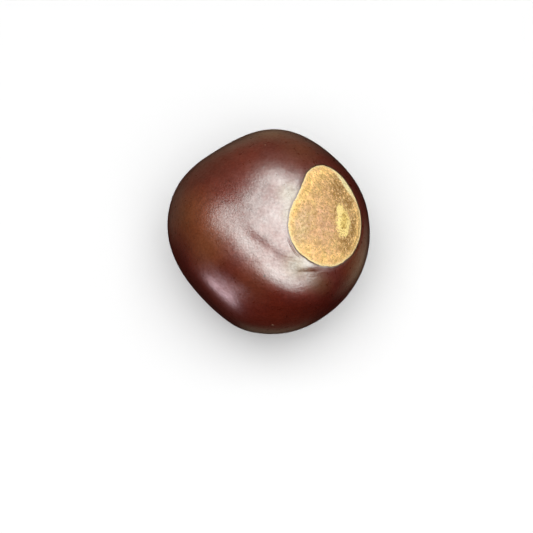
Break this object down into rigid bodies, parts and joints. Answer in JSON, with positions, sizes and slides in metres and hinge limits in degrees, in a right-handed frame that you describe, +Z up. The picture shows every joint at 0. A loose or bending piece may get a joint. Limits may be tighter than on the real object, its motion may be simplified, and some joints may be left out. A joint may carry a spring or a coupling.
{
  "type": "buckeye",
  "caption": "Single ripe buckeye seed: a glossy dark brown ball with soft pressed flats and a pale egg-shaped hilum, resting on a small flat spot.",
  "frame": {"origin": "on the surface that the seed lies on, below the middle of its bounding box", "axes": "+Z up out of the flat spot that it lies on, +X towards the side that carries the hilum, +Y away from the side that the picture shows"},
  "size_m": [0.0338, 0.0347, 0.0306],
  "materials": {
    "seed_coat": "gloss"
  },
  "bodies": {
    "root": {"buckeye": "seed_coat"}
  },
  "joints": []
}
